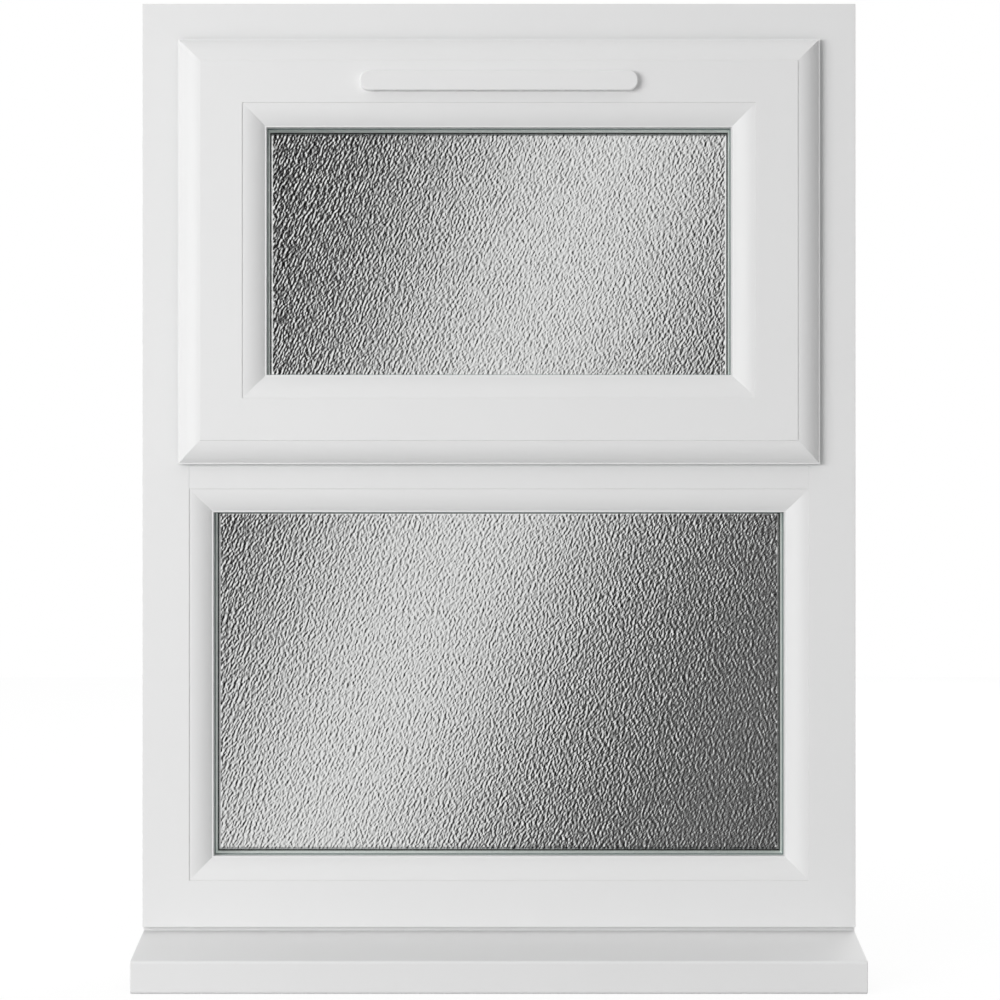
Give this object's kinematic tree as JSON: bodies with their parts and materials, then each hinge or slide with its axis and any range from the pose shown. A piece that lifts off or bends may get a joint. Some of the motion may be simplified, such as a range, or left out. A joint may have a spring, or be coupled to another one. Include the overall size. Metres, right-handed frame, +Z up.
{
  "type": "top-hung window",
  "caption": "Plastic-framed window with a top-hung sash over a fixed light, obscure insulating glass, a slim vent canopy and a projecting sill.",
  "frame": {"origin": "underside of the sill at mid width, in the plane of the frame's outer face", "axes": "+X to the right as seen from outside, +Y towards the room, +Z up"},
  "size_m": [0.61, 0.158, 0.833],
  "materials": {
    "white_plastic": "smooth white",
    "clear_glass": "clear float",
    "obscure_glass": "rolled texture of slanting streaks",
    "gasket_rubber": "matt black",
    "spacer_bar": "satin",
    "edge_sealant": "matt black",
    "handle_white": "white"
  },
  "bodies": {
    "root": {"fixed_bead_bottom": "white_plastic", "fixed_bead_left": "white_plastic", "fixed_bead_right": "white_plastic", "fixed_bead_top": "white_plastic", "fixed_edge_sealant": "gasket_rubber", "fixed_inner_gasket": "gasket_rubber", "fixed_obscure_pane": "obscure_glass", "fixed_outer_gasket": "gasket_rubber", "fixed_outer_pane": "clear_glass", "fixed_spacer": "spacer_bar", "frame_bottom_rail": "white_plastic", "frame_head": "white_plastic", "frame_left_jamb": "white_plastic", "frame_right_jamb": "white_plastic", "handle_base": "handle_white", "handle_lever": "handle_white", "sash_bead_bottom": "white_plastic", "sash_bead_left": "white_plastic", "sash_bead_right": "white_plastic", "sash_bead_top": "white_plastic", "sash_bottom_rail": "white_plastic", "sash_edge_sealant": "gasket_rubber", "sash_inner_gasket": "gasket_rubber", "sash_inner_seal": "gasket_rubber", "sash_left_stile": "white_plastic", "sash_obscure_pane": "obscure_glass", "sash_outer_gasket": "gasket_rubber", "sash_outer_pane": "clear_glass", "sash_outer_seal": "gasket_rubber", "sash_right_stile": "white_plastic", "sash_spacer": "spacer_bar", "sash_top_rail": "white_plastic", "sill": "white_plastic", "sill_end_cap_left": "white_plastic", "sill_end_cap_right": "white_plastic", "transom": "white_plastic", "vent_canopy": "white_plastic", "vent_cover": "white_plastic"}
  },
  "joints": []
}
